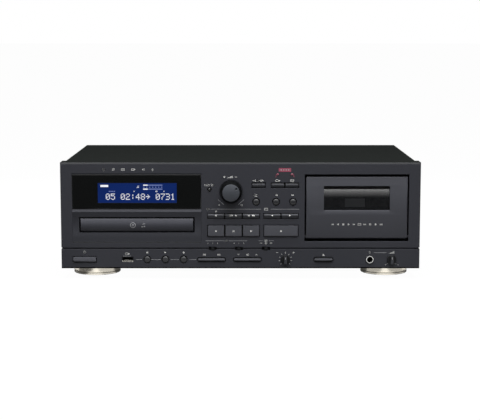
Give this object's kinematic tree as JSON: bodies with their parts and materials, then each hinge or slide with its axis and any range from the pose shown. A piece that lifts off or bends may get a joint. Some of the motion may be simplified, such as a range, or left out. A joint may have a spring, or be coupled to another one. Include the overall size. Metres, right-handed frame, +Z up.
{
  "type": "cd cassette deck",
  "caption": "Full-width hi-fi deck that plays discs from a motor drawer and cassettes behind a bottom-hinged door, with keys, knobs and small sockets on a charcoal front.",
  "frame": {"origin": "on the table, under the middle of the part's box", "axes": "+X to the right as seen from the front, +Y to the back (the front faces -Y), +Z up"},
  "size_m": [0.435, 0.285, 0.1424],
  "materials": {
    "panel": "satin charcoal paint on moulded plastic",
    "door": "satin charcoal paint on moulded plastic",
    "drawer": "satin charcoal paint on moulded plastic",
    "key": "satin moulded plastic",
    "knob": "satin moulded plastic",
    "inner_plastic": "moulded plastic",
    "gear_plastic": "natural moulded plastic",
    "window": "gloss black acrylic",
    "lcd": "lit blue display behind its cover",
    "pane": "smoked acrylic",
    "cover": "fine textured black paint on steel",
    "zinc": "zinc-plated steel sheet",
    "foot": "turned, champagne finish",
    "board": "circuit board with its parts",
    "core": "laminated core and coil",
    "nickel": "nickel plate"
  },
  "bodies": {
    "cabinet": {"front_panel": "panel", "display_window": "window", "lcd_module": "lcd", "top_cover": "cover", "chassis_base": "zinc", "rear_panel": "cover", "feet": "foot", "main_board": "board", "power_transformer": "core", "control_board": "board", "usb_socket": "nickel", "mic_jack": "nickel", "line_sockets": "nickel", "mains_inlet": "inner_plastic", "cd_loader_frame": "inner_plastic", "tape_frame": "inner_plastic", "tape_drive": "zinc"},
    "tray": {"cd_tray": "inner_plastic", "tray_front": "drawer"},
    "loading_gear": {"loading_gear": "gear_plastic"},
    "turntable": {"cd_turntable": "inner_plastic"},
    "clamp": {"disc_clamp": "inner_plastic"},
    "sled": {"laser_sled": "zinc"},
    "door": {"cassette_door": "door", "door_window": "pane", "cassette_holder": "inner_plastic"},
    "reel_left": {"reel_hub_left": "nickel"},
    "reel_right": {"reel_hub_right": "nickel"},
    "capstan_left": {"flywheel_left": "nickel"},
    "capstan_right": {"flywheel_right": "nickel"},
    "heads": {"head_bridge": "zinc"},
    "level_knob": {"level_knob": "knob"},
    "pitch_knob": {"pitch_knob": "knob"},
    "mic_knob": {"mic_knob": "knob"},
    "source_key": {"source_key": "key"},
    "record_key_left": {"record_key_left": "key"},
    "record_key_right": {"record_key_right": "key"},
    "repeat_button": {"repeat_button": "key"},
    "rewind_button": {"rewind_button": "key"},
    "forward_button": {"forward_button": "key"},
    "drawer_key": {"drawer_key": "key"},
    "skip_back_key": {"skip_back_key": "key"},
    "skip_forward_key": {"skip_forward_key": "key"},
    "tape_reverse_key": {"tape_reverse_key": "key"},
    "tape_forward_key": {"tape_forward_key": "key"},
    "disc_stop_key": {"disc_stop_key": "key"},
    "disc_pause_key": {"disc_pause_key": "key"},
    "disc_play_key": {"disc_play_key": "key"},
    "tape_stop_key": {"tape_stop_key": "key"},
    "power_button": {"power_button": "key"},
    "stick_stop_button": {"stick_stop_button": "key"},
    "stick_play_button": {"stick_play_button": "key"},
    "stick_record_button": {"stick_record_button": "key"},
    "skip_rocker": {"skip_rocker": "key"},
    "volume_rocker": {"volume_rocker": "key"},
    "eject_button": {"eject_button": "key"},
    "counter_reset_button": {"counter_reset_button": "key"},
    "start_switch": {"start_switch": "inner_plastic"},
    "timer_switch": {"timer_switch": "inner_plastic"},
    "reverse_switch": {"reverse_switch": "inner_plastic"}
  },
  "joints": [
    {"name": "tray_slide", "type": "slide", "parent": "cabinet", "child": "tray", "axis": [0, -1, 0], "range_m": [0, 0.136]},
    {"name": "loading_gear_spin", "type": "hinge", "parent": "cabinet", "child": "loading_gear", "pos_m": [-0.0939, -0.10695, 0.0624], "axis": [0, 0, -1], "range_deg": [-10, 640]},
    {"name": "turntable_spin", "type": "hinge", "parent": "cabinet", "child": "turntable", "pos_m": [-0.1254, -0.0569, 0.0624], "axis": [0, 0, 1], "continuous": true},
    {"name": "clamp_spin", "type": "hinge", "parent": "cabinet", "child": "clamp", "pos_m": [-0.1254, -0.0569, 0.0624], "axis": [0, 0, 1], "continuous": true},
    {"name": "sled_slide", "type": "slide", "parent": "cabinet", "child": "sled", "axis": [0, 1, 0], "range_m": [0, 0.035]},
    {"name": "door_hinge", "type": "hinge", "parent": "cabinet", "child": "door", "pos_m": [0.14055, -0.1245, 0.0517], "axis": [1, 0, 0], "range_deg": [0, 28]},
    {"name": "reel_left_spin", "type": "hinge", "parent": "cabinet", "child": "reel_left", "pos_m": [0.1193, -0.1105, 0.093], "axis": [0, 1, 0], "continuous": true},
    {"name": "reel_right_spin", "type": "hinge", "parent": "cabinet", "child": "reel_right", "pos_m": [0.1618, -0.1105, 0.093], "axis": [0, 1, 0], "continuous": true},
    {"name": "capstan_left_spin", "type": "hinge", "parent": "cabinet", "child": "capstan_left", "pos_m": [0.10655, -0.1105, 0.066], "axis": [0, 1, 0], "continuous": true},
    {"name": "capstan_right_spin", "type": "hinge", "parent": "cabinet", "child": "capstan_right", "pos_m": [0.17455, -0.1105, 0.066], "axis": [0, 1, 0], "continuous": true},
    {"name": "head_slide", "type": "slide", "parent": "cabinet", "child": "heads", "axis": [0, 0, 1], "range_m": [0, 0.006]},
    {"name": "level_knob_turn", "type": "hinge", "parent": "cabinet", "child": "level_knob", "pos_m": [-0.0114, -0.1305, 0.1069], "axis": [0, 1, 0], "range_deg": [-150, 150]},
    {"name": "pitch_knob_turn", "type": "hinge", "parent": "cabinet", "child": "pitch_knob", "pos_m": [0.0545, -0.1305, 0.0242], "axis": [0, 1, 0], "range_deg": [-150, 150]},
    {"name": "mic_knob_turn", "type": "hinge", "parent": "cabinet", "child": "mic_knob", "pos_m": [0.1834, -0.1305, 0.0242], "axis": [0, 1, 0], "range_deg": [-150, 150]},
    {"name": "source_key_press", "type": "slide", "parent": "cabinet", "child": "source_key", "axis": [0, 1, 0], "range_m": [0, 0.0012], "stiffness_N_per_m": 300},
    {"name": "record_key_left_press", "type": "slide", "parent": "cabinet", "child": "record_key_left", "axis": [0, 1, 0], "range_m": [0, 0.0012], "stiffness_N_per_m": 300},
    {"name": "record_key_right_press", "type": "slide", "parent": "cabinet", "child": "record_key_right", "axis": [0, 1, 0], "range_m": [0, 0.0012], "stiffness_N_per_m": 300},
    {"name": "repeat_button_press", "type": "slide", "parent": "cabinet", "child": "repeat_button", "axis": [0, 1, 0], "range_m": [0, 0.0012], "stiffness_N_per_m": 300},
    {"name": "rewind_button_press", "type": "slide", "parent": "cabinet", "child": "rewind_button", "axis": [0, 1, 0], "range_m": [0, 0.0012], "stiffness_N_per_m": 300},
    {"name": "forward_button_press", "type": "slide", "parent": "cabinet", "child": "forward_button", "axis": [0, 1, 0], "range_m": [0, 0.0012], "stiffness_N_per_m": 300},
    {"name": "drawer_key_press", "type": "slide", "parent": "cabinet", "child": "drawer_key", "axis": [0, 1, 0], "range_m": [0, 0.0012], "stiffness_N_per_m": 300},
    {"name": "skip_back_key_press", "type": "slide", "parent": "cabinet", "child": "skip_back_key", "axis": [0, 1, 0], "range_m": [0, 0.0012], "stiffness_N_per_m": 300},
    {"name": "skip_forward_key_press", "type": "slide", "parent": "cabinet", "child": "skip_forward_key", "axis": [0, 1, 0], "range_m": [0, 0.0012], "stiffness_N_per_m": 300},
    {"name": "tape_reverse_key_press", "type": "slide", "parent": "cabinet", "child": "tape_reverse_key", "axis": [0, 1, 0], "range_m": [0, 0.0012], "stiffness_N_per_m": 300},
    {"name": "tape_forward_key_press", "type": "slide", "parent": "cabinet", "child": "tape_forward_key", "axis": [0, 1, 0], "range_m": [0, 0.0012], "stiffness_N_per_m": 300},
    {"name": "disc_stop_key_press", "type": "slide", "parent": "cabinet", "child": "disc_stop_key", "axis": [0, 1, 0], "range_m": [0, 0.0012], "stiffness_N_per_m": 300},
    {"name": "disc_pause_key_press", "type": "slide", "parent": "cabinet", "child": "disc_pause_key", "axis": [0, 1, 0], "range_m": [0, 0.0012], "stiffness_N_per_m": 300},
    {"name": "disc_play_key_press", "type": "slide", "parent": "cabinet", "child": "disc_play_key", "axis": [0, 1, 0], "range_m": [0, 0.0012], "stiffness_N_per_m": 300},
    {"name": "tape_stop_key_press", "type": "slide", "parent": "cabinet", "child": "tape_stop_key", "axis": [0, 1, 0], "range_m": [0, 0.0012], "stiffness_N_per_m": 300},
    {"name": "power_button_press", "type": "slide", "parent": "cabinet", "child": "power_button", "axis": [0, 1, 0], "range_m": [0, 0.0026], "stiffness_N_per_m": 300},
    {"name": "stick_stop_button_press", "type": "slide", "parent": "cabinet", "child": "stick_stop_button", "axis": [0, 1, 0], "range_m": [0, 0.0012], "stiffness_N_per_m": 300},
    {"name": "stick_play_button_press", "type": "slide", "parent": "cabinet", "child": "stick_play_button", "axis": [0, 1, 0], "range_m": [0, 0.0012], "stiffness_N_per_m": 300},
    {"name": "stick_record_button_press", "type": "slide", "parent": "cabinet", "child": "stick_record_button", "axis": [0, 1, 0], "range_m": [0, 0.0012], "stiffness_N_per_m": 300},
    {"name": "skip_rocker_tilt", "type": "hinge", "parent": "cabinet", "child": "skip_rocker", "pos_m": [-0.0351, -0.122, 0.0242], "axis": [0, 0, 1], "range_deg": [-3, 3], "stiffness_Nm_per_rad": 0.1},
    {"name": "volume_rocker_tilt", "type": "hinge", "parent": "cabinet", "child": "volume_rocker", "pos_m": [0.00848, -0.122, 0.0242], "axis": [0, 0, 1], "range_deg": [-3, 3], "stiffness_Nm_per_rad": 0.1},
    {"name": "eject_button_press", "type": "slide", "parent": "cabinet", "child": "eject_button", "axis": [0, 1, 0], "range_m": [0, 0.0012], "stiffness_N_per_m": 300},
    {"name": "counter_reset_button_press", "type": "slide", "parent": "cabinet", "child": "counter_reset_button", "axis": [0, 1, 0], "range_m": [0, 0.0012], "stiffness_N_per_m": 300},
    {"name": "start_switch_slide", "type": "slide", "parent": "cabinet", "child": "start_switch", "axis": [1, 0, 0], "range_m": [-0.0025, 0.0025]},
    {"name": "timer_switch_slide", "type": "slide", "parent": "cabinet", "child": "timer_switch", "axis": [1, 0, 0], "range_m": [-0.0025, 0.0025]},
    {"name": "reverse_switch_slide", "type": "slide", "parent": "cabinet", "child": "reverse_switch", "axis": [1, 0, 0], "range_m": [-0.0025, 0.0025]}
  ],
  "couplings": [
    {"joint": "loading_gear_spin", "follows": "tray_slide", "rad_per_m": 80},
    {"joint": "clamp_spin", "follows": "turntable_spin", "ratio": 1},
    {"joint": "capstan_right_spin", "follows": "capstan_left_spin", "ratio": -1}
  ]
}
